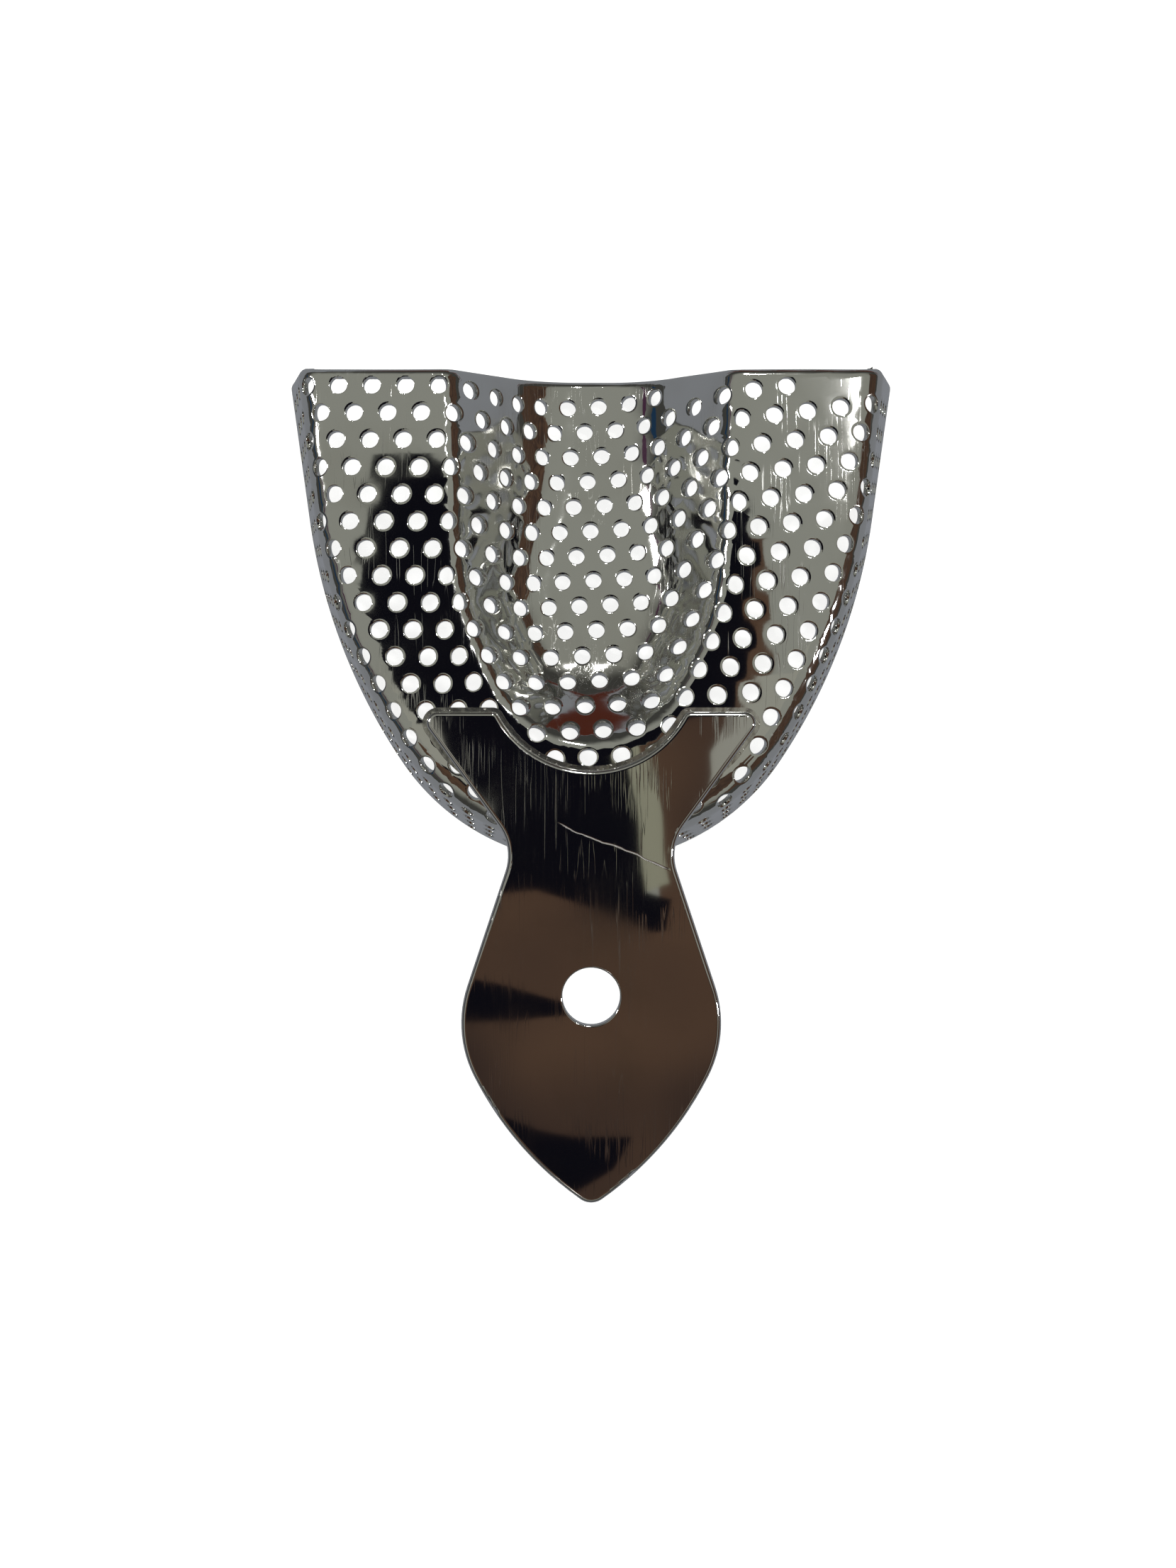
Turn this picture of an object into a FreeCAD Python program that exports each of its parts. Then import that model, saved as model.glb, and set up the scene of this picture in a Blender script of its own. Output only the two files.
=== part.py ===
import FreeCAD, Part

import math
import os

import Sketcher
from FreeCAD import Vector

# Upper impression tray: a perforated sheet pressed into a U-shaped trough with a
# palate vault between its arms, and a flat spade-shaped handle soldered on its floor.
#
# Frame: the rims of the tray stand on z = 0, +Z points up to the outside of the trough
# floor, +Y points to the open rear of the tray and the handle reaches towards -Y.
# The origin is the centre of the footprint on the rim plane. Millimetres and degrees.

doc = FreeCAD.newDocument("impression_tray")

# --------------------------------------------------------------------------------------
# Driving dimensions
# --------------------------------------------------------------------------------------

DIMENSIONS = [
    # alias, value, meaning
    ("overall_length", 103.0, "handle tip to the rear corners of the rims"),
    ("tray_length", 63.5, "front of the rim to its rear corners"),
    ("rim_width", 79.4, "over the rims at the rear corners"),
    ("tray_height", 15.0, "rim plane to the outside of the trough floor"),
    ("sheet_thickness", 0.8, "pressed sheet"),
    ("wall_flare", 13.0, "outer wall from the vertical"),
    ("nose_radius", 30.0, "rim outline round the front"),
    ("side_radius", 75.5, "rim outline along the sides"),
    ("side_angle", 8.0, "straight rear part of the rim outline from the Y axis"),
    ("floor_bend_radius", 3.0, "outside of the bend from floor to outer wall"),
    ("rear_lean", 11.3, "plane of the rear edges from the vertical"),
    ("rear_bead_radius", 1.2, "outside of the turned-down rear edge"),
    ("rear_lip", 1.0, "turned-down rear edge below the sheet"),
    ("palate_front", 15.1, "front of the rim to the front of the palate at floor level"),
    ("palate_width", 34.8, "between the arms of the trough at floor level, at the rear"),
    ("palate_nose_radius", 12.4, "palate outline round the front, floor level"),
    ("palate_nose_closing", 10.2, "how much that radius closes in from the floor to the rim plane"),
    ("palate_side_radius", 45.0, "palate outline along the sides, floor level"),
    ("palate_side_angle", 2.0, "straight part of the palate outline from the Y axis"),
    ("palate_wall_angle", 37.0, "palate side wall from the vertical"),
    ("palate_front_angle", 45.0, "front slope of the palate from the vertical"),
    ("palate_brim_radius", 2.5, "bend from floor to palate wall"),
    ("palate_root_radius", 9.0, "bend from palate wall to palate vault"),
    ("vault_radius", 250.0, "palate vault seen from the side"),
    ("vault_clearance", 1.35, "lowest line of the vault above the rim plane"),
    ("vault_low_offset", 9.5, "lowest line of the vault behind the rear corners"),
    ("hole_diameter", 2.1, "perforation"),
    ("hole_pitch", 4.0, "perforations along a row"),
    ("row_pitch", 3.27, "row to row"),
    ("row_start", 13.65, "front of the rim to a row that crosses the palate's front"),
    ("row_shift", -0.35, "a perforation of that row from the middle plane"),
    ("row_skew", 3.3, "rows rise to the right"),
    ("row_bow", 3.2, "rows rise outwards along the arms of the trough"),
    ("palate_draw", 4.75, "sheet drawn in towards the palate from each arm, at the rear"),
    ("palate_draw_bias", 0.5, "more drawn in from the left arm and less from the right"),
    ("hole_margin", 1.0, "metal left between a perforation and the edge of the sheet"),
    ("plate_thickness", 1.5, "handle"),
    ("plate_edge_radius", 0.6, "edges of the handle, tumbled round"),
    ("wing_reach", 19.0, "front of the rim back to the wing ends of the handle"),
    ("wing_width", 41.9, "over the wings before their corners are rounded"),
    ("wing_angle", 36.0, "outer edge of a wing from the Y axis"),
    ("wing_corner_radius", 1.35, "outer corners of the wings"),
    ("arch_depth", 7.0, "arch cut out between the wings"),
    ("arch_radius", 12.6, "arch cut out between the wings"),
    ("arch_corner_radius", 0.8, "wing corners beside the arch"),
    ("waist_radius", 6.0, "sides of the handle where it leaves the tray"),
    ("waist_angle", 18.4, "sides of the grip from the Y axis"),
    ("grip_width", 31.0, "widest place of the grip"),
    ("grip_to_tip", 21.4, "widest place of the grip to the tip"),
    ("shoulder_radius", 14.0, "round the widest place of the grip"),
    ("ogive_radius", 40.0, "sides of the grip towards the tip"),
    ("tip_radius", 2.3, "tip of the grip"),
    ("hang_hole_diameter", 6.9, "hole in the grip"),
    ("hang_hole_to_tip", 24.6, "hole in the grip to the tip"),
    ("hang_hole_break", 0.2, "edge of the hole, broken"),
    ("solder_width", 0.55, "seam of solder round the wings"),
    ("solder_height", 0.5, "seam of solder round the wings"),
    ("solder_reach", 1.9, "solder run in under the handle, from the floor bend outwards"),
]

sheet = doc.addObject("Spreadsheet::Sheet", "Dims")
for row, (alias, value, meaning) in enumerate(DIMENSIONS, start=1):
    sheet.set(f"A{row}", meaning)
    sheet.set(f"B{row}", str(value))
    sheet.setAlias(f"B{row}", alias)
doc.recompute()


def number(expression):
    """Value of an expression on the sheet."""
    return float(sheet.evalExpression(expression))


def dim(alias):
    """Value of one driving dimension."""
    return number("Dims." + alias)


# Places along Y that several pieces share.
REAR_Y = "Dims.overall_length / 2"
NOSE_Y = "(Dims.overall_length / 2 - Dims.tray_length)"
TIP_Y = "(-Dims.overall_length / 2)"
FAR_Y = "(Dims.overall_length / 2 + 9)"
FLOOR_Z = "Dims.tray_height"
ABOVE = 2.0
ON_SKIN = 0.01  # how near a probe lies to the surface that it marks
PROBE_REACH = 0.6


# --------------------------------------------------------------------------------------
# Helpers
# --------------------------------------------------------------------------------------


def new_body(name):
    return doc.addObject("PartDesign::Body", name)


def plane(body, role):
    """One of the body's own origin planes."""
    return next(item for item in body.Origin.OriginFeatures if item.Role == role)


def new_sketch(body, name, role, offset=None):
    """Sketch on an origin plane, at an offset along its normal."""
    sketch = body.newObject("Sketcher::SketchObject", name)
    sketch.AttachmentSupport = [(plane(body, role), "")]
    sketch.MapMode = "FlatFace"
    if offset:
        sketch.setExpression(".AttachmentOffset.Base.z", offset)
    return sketch


def constrain(sketch, name, kind, *where, expression):
    """Named constraint whose value follows the sheet."""
    value = number(expression)
    if kind == "Angle":
        value = math.radians(value)
        expression = f"({expression}) * 1 deg"
    elif "Radius" in kind or "Distance" in kind:
        expression = f"({expression}) * 1 mm"
    index = sketch.addConstraint(Sketcher.Constraint(kind, *where, value))
    sketch.renameConstraint(index, name)
    sketch.setExpression("Constraints." + name, expression)


def join(sketch, kind, *where):
    sketch.addConstraint(Sketcher.Constraint(kind, *where))


def arc(centre, radius, start, end):
    """Arc of a circle in a sketch, counter-clockwise, angles in radians."""
    circle = Part.Circle(Vector(*centre, 0), Vector(0, 0, 1), radius)
    return Part.ArcOfCircle(circle, start, end)


def line(start, end):
    return Part.LineSegment(Vector(*start, 0), Vector(*end, 0))


def edges_where(feature, test):
    """Names of the edges whose middle passes a test."""
    names = []
    for index, edge in enumerate(feature.Shape.Edges, start=1):
        middle = edge.valueAt((edge.FirstParameter + edge.LastParameter) / 2)
        if test(edge, middle):
            names.append(f"Edge{index}")
    return names


def add_fillet(body, name, base, radius, test):
    """Fillet on the edges of a feature that pass a test."""
    doc.recompute()
    fillet = body.newObject("PartDesign::Fillet", name)
    fillet.Base = (base, edges_where(base, test))
    fillet.setExpression("Radius", radius)
    doc.recompute()
    return fillet


# --------------------------------------------------------------------------------------
# U-shaped outline: front arc, two side arcs and two straight ends, closed at the rear
# --------------------------------------------------------------------------------------


def u_joint_angle(nose_y, nose_radius, side_radius, lean, half_width, end_y):
    """Angle round the front arc at which the side arc starts, for a given rear width."""
    end_angle = math.pi / 2 - lean

    def miss(angle):
        step = nose_radius - side_radius
        across = side_radius * math.sin(end_angle) + step * math.sin(angle)
        along = nose_radius - step * math.cos(angle) - side_radius * math.cos(end_angle)
        return across + (end_y - nose_y - along) * math.tan(lean) - half_width

    low, high = math.radians(5), end_angle
    for _ in range(60):
        middle = (low + high) / 2
        if miss(low) * miss(middle) <= 0:
            high = middle
        else:
            low = middle
    return (low + high) / 2


def u_outline(sketch, nose_y, nose_radius, side_radius, lean, half_width, end_y):
    """Draw and constrain the outline. Every size is an expression on the sheet."""
    y0, r1, r2 = number(nose_y), number(nose_radius), number(side_radius)
    phi, w, y1 = math.radians(number(lean)), number(half_width), number(end_y)
    start = u_joint_angle(y0, r1, r2, phi, w, y1)
    end = math.pi / 2 - phi
    down = -math.pi / 2
    cx = (r1 - r2) * math.sin(start)
    cy = y0 + r1 - (r1 - r2) * math.cos(start)
    joint = (cx + r2 * math.sin(end), cy - r2 * math.cos(end))
    nose, right, left, right_line, rear, left_line = sketch.addGeometry([
        arc((0, y0 + r1), r1, down - start, down + start),
        arc((cx, cy), r2, down + start, down + end),
        arc((-cx, cy), r2, down - end, down - start),
        line(joint, (w, y1)),
        line((w, y1), (-w, y1)),
        line((-joint[0], joint[1]), (-w, y1)),
    ])
    join(sketch, "Tangent", nose, 2, right, 1)
    join(sketch, "Tangent", left, 2, nose, 1)
    join(sketch, "Tangent", right, 2, right_line, 1)
    join(sketch, "Tangent", left, 1, left_line, 1)
    join(sketch, "Coincident", right_line, 2, rear, 1)
    join(sketch, "Coincident", rear, 2, left_line, 2)
    join(sketch, "PointOnObject", nose, 3, -2)
    join(sketch, "Symmetric", rear, 1, rear, 2, -2)
    join(sketch, "Equal", left, right)
    constrain(sketch, "nose_radius", "Radius", nose, expression=nose_radius)
    constrain(sketch, "side_radius", "Radius", right, expression=side_radius)
    constrain(sketch, "nose_centre", "DistanceY", -1, 1, nose, 3,
              expression=f"{nose_y} + {nose_radius}")
    constrain(sketch, "rear_line", "DistanceY", -1, 1, rear, 1, expression=end_y)
    constrain(sketch, "rear_width", "DistanceX", rear, 2, rear, 1,
              expression=f"2 * ({half_width})")
    constrain(sketch, "right_lean", "Angle", right_line, expression=f"90 - {lean}")
    constrain(sketch, "left_lean", "Angle", left_line, expression=f"90 + {lean}")


# --------------------------------------------------------------------------------------
# Press forms: the sheet is what is left between an outer form and an inner form that
# is the same form set in by the sheet's thickness
# --------------------------------------------------------------------------------------


def palate_sketch(body, name, depth, inset):
    """Palate outline at a depth below the outside of the floor."""
    side = f"({depth}) * tan(Dims.palate_wall_angle * 1 deg)"
    side_set = f"{inset} / cos(Dims.palate_wall_angle * 1 deg)"
    closing = f"Dims.palate_nose_closing * ({depth}) / {FLOOR_Z}"
    front = f"({depth}) * tan(Dims.palate_front_angle * 1 deg)"
    front_set = f"{inset} / cos(Dims.palate_front_angle * 1 deg)"
    sketch = new_sketch(body, name, "XY_Plane", f"{FLOOR_Z} - ({depth})")
    u_outline(
        sketch,
        nose_y=f"({NOSE_Y} + Dims.palate_front + {front} - {front_set})",
        nose_radius=f"(Dims.palate_nose_radius - {closing} + {side_set})",
        side_radius=f"(Dims.palate_side_radius - {side} + {side_set})",
        lean="Dims.palate_side_angle",
        half_width=f"(Dims.palate_width / 2 - {side} + {side_set})",
        end_y=FAR_Y,
    )
    return sketch


def press_form(name, inset, rear_bead):
    """Solid form of the tray, set in from its outer surface by an inset."""
    body = new_body(name)
    level = f"{inset} / cos(Dims.wall_flare * 1 deg)"

    outline = new_sketch(body, name + "_rim", "XY_Plane")
    reach = f"(({FAR_Y}) - ({REAR_Y})) * tan(Dims.side_angle * 1 deg)"
    u_outline(
        outline,
        nose_y=f"({NOSE_Y} + {level})",
        nose_radius=f"(Dims.nose_radius - {level})",
        side_radius=f"(Dims.side_radius - {level})",
        lean="Dims.side_angle",
        half_width=f"(Dims.rim_width / 2 + {reach} - {level} / cos(Dims.side_angle * 1 deg))",
        end_y=FAR_Y,
    )
    block = body.newObject("PartDesign::Pad", name + "_block")
    block.Profile = outline
    block.setExpression("Length", f"({FLOOR_Z} - {inset}) * 1 mm")
    block.setExpression("TaperAngle", "-Dims.wall_flare * 1 deg")
    doc.recompute()

    top = palate_sketch(body, name + "_palate_top", f"(0 - {ABOVE})", inset)
    bottom = palate_sketch(body, name + "_palate_bottom", FLOOR_Z, inset)
    doc.recompute()
    palate = body.newObject("PartDesign::SubtractiveLoft", name + "_palate")
    palate.Profile = top
    palate.Sections = [(bottom, [""])]
    palate.Ruled = True
    doc.recompute()

    vault_profile = new_sketch(body, name + "_vault_profile", "YZ_Plane")
    draw_vault(vault_profile, inset)
    vault = body.newObject("PartDesign::Pad", name + "_vault")
    vault.Profile = vault_profile
    vault.SideType = "Symmetric"
    vault.setExpression("Length", "(Dims.palate_width + 4) * 1 mm")
    doc.recompute()

    rear_profile = new_sketch(body, name + "_rear_profile", "YZ_Plane")
    draw_rear(rear_profile, inset)
    rear = body.newObject("PartDesign::Pocket", name + "_rear")
    rear.Profile = rear_profile
    rear.SideType = "Symmetric"
    rear.Type = "ThroughAll"
    doc.recompute()

    floor = number(f"{FLOOR_Z} - {inset}")
    inner = number("Dims.palate_width / 2 + 2")
    front = number(f"{NOSE_Y} + Dims.palate_front - {inset} * 1.5 - 0.5")
    rear_limit = number(f"({REAR_Y}) - ({FLOOR_Z}) * tan(Dims.rear_lean * 1 deg) - {inset} - 0.3")
    centre = (number(VAULT_Y), number(VAULT_Z))
    vault_radius = number(f"Dims.vault_radius + {inset}")

    def on_vault(edge, middle):
        distance = math.hypot(middle.y - centre[0], middle.z - centre[1])
        return abs(distance - vault_radius) < 0.05 and edge.BoundBox.YMin < rear_limit

    def on_palate_brim(edge, middle):
        inside = abs(middle.x) < inner and middle.y > front
        return abs(middle.z - floor) < 1e-3 and inside and edge.BoundBox.YMin < rear_limit

    def on_floor_edge(edge, middle):
        outside = abs(middle.x) > inner or middle.y < front
        return abs(middle.z - floor) < 1e-3 and outside and edge.BoundBox.YMin < rear_limit

    def on_rear_edge(edge, middle):
        return edge.BoundBox.YMin > rear_limit and edge.BoundBox.ZMax > 1.0

    root = add_fillet(body, name + "_palate_root", rear,
                      f"(Dims.palate_root_radius + {inset}) * 1 mm", on_vault)
    brim = add_fillet(body, name + "_palate_brim", root,
                      f"(Dims.palate_brim_radius - {inset}) * 1 mm", on_palate_brim)
    bend = add_fillet(body, name + "_floor_bend", brim,
                      f"(Dims.floor_bend_radius - {inset}) * 1 mm", on_floor_edge)
    if rear_bead:
        add_fillet(body, name + "_rear_bead", bend, "Dims.rear_bead_radius * 1 mm", on_rear_edge)
    return body


VAULT_Y = f"({REAR_Y} + Dims.vault_low_offset)"
VAULT_Z = "(Dims.vault_clearance + Dims.vault_radius)"


def draw_vault(sketch, inset):
    """Side view of what lies under the palate vault: a shallow arc over the rim plane."""
    radius = f"(Dims.vault_radius + {inset})"
    y_front, y_rear = number(f"{NOSE_Y} + 12"), number(FAR_Y)
    cy, cz, r = number(VAULT_Y), number(VAULT_Z), number(radius)

    def height(y):
        return cz - math.sqrt(r * r - (y - cy) ** 2)

    def angle(y):
        return math.atan2(height(y) - cz, y - cy)

    base, back, roof, front = sketch.addGeometry([
        line((y_front, 0), (y_rear, 0)),
        line((y_rear, 0), (y_rear, height(y_rear))),
        arc((cy, cz), r, angle(y_front), angle(y_rear)),
        line((y_front, height(y_front)), (y_front, 0)),
    ])
    join(sketch, "Coincident", base, 2, back, 1)
    join(sketch, "Coincident", back, 2, roof, 2)
    join(sketch, "Coincident", roof, 1, front, 1)
    join(sketch, "Coincident", front, 2, base, 1)
    join(sketch, "PointOnObject", base, 1, -1)
    join(sketch, "Horizontal", base)
    join(sketch, "Vertical", back)
    join(sketch, "Vertical", front)
    constrain(sketch, "radius", "Radius", roof, expression=radius)
    constrain(sketch, "centre_y", "DistanceX", -1, 1, roof, 3, expression=VAULT_Y)
    constrain(sketch, "centre_z", "DistanceY", -1, 1, roof, 3, expression=VAULT_Z)
    constrain(sketch, "front", "DistanceX", -1, 1, base, 1, expression=f"{NOSE_Y} + 12")
    constrain(sketch, "rear", "DistanceX", -1, 1, base, 2, expression=FAR_Y)


def draw_rear(sketch, inset):
    """Side view of what is trimmed off behind the leaning rear edges."""
    foot = f"({REAR_Y} - {inset} / cos(Dims.rear_lean * 1 deg))"
    top = f"({FLOOR_Z} + {ABOVE})"
    foot_y, top_z, far_y = number(foot), number(top), number(f"{FAR_Y} + {ABOVE}")
    lean = math.radians(dim("rear_lean"))
    top_y = foot_y - top_z * math.tan(lean)
    base, far, roof, slope = sketch.addGeometry([
        line((foot_y, 0), (far_y, 0)),
        line((far_y, 0), (far_y, top_z)),
        line((far_y, top_z), (top_y, top_z)),
        line((foot_y, 0), (top_y, top_z)),
    ])
    join(sketch, "Coincident", base, 2, far, 1)
    join(sketch, "Coincident", far, 2, roof, 1)
    join(sketch, "Coincident", roof, 2, slope, 2)
    join(sketch, "Coincident", slope, 1, base, 1)
    join(sketch, "PointOnObject", base, 1, -1)
    join(sketch, "Horizontal", base)
    join(sketch, "Vertical", far)
    join(sketch, "Horizontal", roof)
    constrain(sketch, "foot", "DistanceX", -1, 1, base, 1, expression=foot)
    constrain(sketch, "far", "DistanceX", -1, 1, base, 2, expression=f"{FAR_Y} + {ABOVE}")
    constrain(sketch, "height", "DistanceY", -1, 1, far, 2, expression=top)
    constrain(sketch, "lean", "Angle", slope, expression="90 + Dims.rear_lean")


outer_form = press_form("outer_form", "0", rear_bead=True)
inner_form = press_form("inner_form", "Dims.sheet_thickness", rear_bead=False)

# The rear wall between the forms is opened by the rear end of the inner form moved down
# and back, which leaves the rear edge of the sheet turned down as a narrow lip.
moved_form = doc.addObject("Part::Compound", "moved_form")
moved_form.Links = [inner_form]
moved_form.setExpression(".Placement.Base.y", "Dims.sheet_thickness * 4 * 1 mm")
moved_form.setExpression(".Placement.Base.z", "-Dims.rear_lip * 1 mm")
rear_end = doc.addObject("Part::Box", "rear_end")
rear_end.setExpression("Length", "2 * Dims.rim_width * 1 mm")
rear_end.setExpression("Width", "3 * Dims.tray_height * 1 mm")
rear_end.setExpression("Height", "3 * Dims.tray_height * 1 mm")
rear_end.setExpression(".Placement.Base.x", "-Dims.rim_width * 1 mm")
rear_end.setExpression(
    ".Placement.Base.y",
    f"({REAR_Y} - {FLOOR_Z} * tan(Dims.rear_lean * 1 deg) - 2 * Dims.sheet_thickness) * 1 mm")
rear_end.setExpression(".Placement.Base.z", "-Dims.tray_height * 1 mm")
mouth_form = doc.addObject("Part::Common", "mouth_form")
mouth_form.Base = moved_form
mouth_form.Tool = rear_end

closed_sheet = doc.addObject("Part::Cut", "closed_sheet")
closed_sheet.Base = outer_form
closed_sheet.Tool = inner_form
pressed_sheet = doc.addObject("Part::Cut", "pressed_sheet")
pressed_sheet.Base = closed_sheet
pressed_sheet.Tool = mouth_form
doc.recompute()


# --------------------------------------------------------------------------------------
# Perforations: the sheet is punched flat, then pressed. Each hole keeps its place on the
# floor and in the vault, and follows the bend round and down the outer wall.
# --------------------------------------------------------------------------------------


def outline_distance(x, y, inset):
    """Distance outside the rim outline set in by an inset, and the direction outwards."""
    nose_y, end_y = number(NOSE_Y), number(FAR_Y)
    r1, r2, phi = dim("nose_radius"), dim("side_radius"), math.radians(dim("side_angle"))
    reach = (end_y - number(REAR_Y)) * math.tan(phi)
    half = dim("rim_width") / 2 + reach
    start = RIM_JOINT
    cx = (r1 - r2) * math.sin(start)
    cy = nose_y + r1 - (r1 - r2) * math.cos(start)
    side = math.copysign(1, x)
    x = abs(x)
    angle = math.atan2(x, nose_y + r1 - y)
    if angle < start:
        centre, radius = (0, nose_y + r1), r1
    else:
        centre, radius = (cx, cy), r2
        angle = math.atan2(x - cx, cy - y)
    if angle > math.pi / 2 - phi:
        out = (math.cos(phi), -math.sin(phi))
        distance = (x - half) * out[0] + (y - end_y) * out[1]
    else:
        out = (math.sin(angle), -math.cos(angle))
        distance = math.hypot(x - centre[0], y - centre[1]) - radius
    return distance + inset, Vector(side * out[0], out[1], 0)


RIM_JOINT = u_joint_angle(
    number(NOSE_Y), dim("nose_radius"), dim("side_radius"), math.radians(dim("side_angle")),
    number(f"Dims.rim_width / 2 + (({FAR_Y}) - ({REAR_Y})) * tan(Dims.side_angle * 1 deg)"),
    number(FAR_Y),
)


def bend_inset():
    """From the rim outline in to where the floor starts to bend."""
    flare = math.radians(dim("wall_flare"))
    turn = math.pi / 2 - flare
    return dim("tray_height") * math.tan(flare) + dim("floor_bend_radius") * math.tan(turn / 2)


def over_the_wall(along):
    """Outward and downward travel after a length round the bend and down the wall."""
    radius = dim("floor_bend_radius")
    turn = math.pi / 2 - math.radians(dim("wall_flare"))
    round_part = min(along / radius, turn)
    rest = max(along - radius * turn, 0)
    outward = radius * math.sin(round_part) + rest * math.cos(turn)
    downward = radius * (1 - math.cos(round_part)) + rest * math.sin(turn)
    return outward, downward


def drawn_in(x, y):
    """Where a punched place comes to lie once the palate has drawn the sheet in."""
    palate_y = number(NOSE_Y) + dim("palate_front")
    depth = min(max((y - palate_y) / (number(REAR_Y) - palate_y), 0), 1)
    share = min(2 * abs(x) / dim("palate_width"), 1)
    blend = share * share * (3 - 2 * share)
    draw = math.copysign(dim("palate_draw") * depth, x) - dim("palate_draw_bias")
    return x - draw * blend


def hole_places():
    """Where the punched holes lie on the pressed sheet: a probe to drop onto it."""
    top, inset = dim("tray_height"), bend_inset()
    skew = math.tan(math.radians(dim("row_skew")))
    bow = math.tan(math.radians(dim("row_bow")))
    arm = dim("palate_width") / 2
    first_y = number(NOSE_Y) + dim("row_start")
    rows = math.ceil(dim("tray_length") / dim("row_pitch")) + 4
    columns = math.ceil(dim("rim_width") / dim("hole_pitch")) + 4
    for row in range(-rows, rows):
        for column in range(-columns, columns):
            along = dim("row_shift") + (column + 0.5 * (row % 2)) * dim("hole_pitch")
            across = row * dim("row_pitch")
            y = first_y + across + skew * along
            x = drawn_in(along - skew * across, y)
            y += bow * max(abs(x) - arm, 0)
            distance, out = outline_distance(x, y, inset)
            if distance <= 0:
                yield Part.makeLine(Vector(x, y, top + ABOVE), Vector(x, y, 0))
            else:
                outward, downward = over_the_wall(distance)
                if downward < top:
                    place = Vector(x, y, top) + out * (outward - distance)
                    yield Part.Vertex(place - Vector(0, 0, downward))


def punch_pins():
    """One pin through the sheet for each hole that keeps clear of its edges."""
    skin = Part.makeShell([face for face in outer_form.Shape.Faces if face.BoundBox.ZMax > 1e-3])
    radius = dim("hole_diameter") / 2
    edge_room = radius + dim("hole_margin")
    lean = math.tan(math.radians(dim("rear_lean")))
    pins = []
    for probe in hole_places():
        gap, points, facts = skin.distToShape(probe)
        kind, index, place = facts[0][:3]
        if kind != "Face" or gap > ON_SKIN:
            continue
        point = points[0][0]
        normal = skin.Faces[index].normalAt(*place)
        rear_room = dim("overall_length") / 2 - lean * point.z - point.y
        on_wall = isinstance(probe, Part.Vertex)
        if rear_room < edge_room or (on_wall and point.z < edge_room):
            continue
        length = dim("sheet_thickness") + 2 * PROBE_REACH
        foot = point - normal * (length - PROBE_REACH)
        pins.append(Part.makeCylinder(radius, length, foot, normal))
    return pins


pins = punch_pins()
print("perforations", len(pins))
perforations = doc.addObject("Part::Feature", "perforations")
perforations.Shape = Part.makeCompound(pins)
tray_shell = doc.addObject("Part::Cut", "tray_shell")
tray_shell.Base = pressed_sheet
tray_shell.Tool = perforations
doc.recompute()


# --------------------------------------------------------------------------------------
# Handle: a flat plate with two wings on the trough floor, an arch between them that
# clears the palate, a waist and a spade-shaped grip with a hole to hang it by
# --------------------------------------------------------------------------------------

WING_Y = f"({NOSE_Y} + Dims.wing_reach)"
GRIP_Y = f"({TIP_Y} + Dims.grip_to_tip)"


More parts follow.
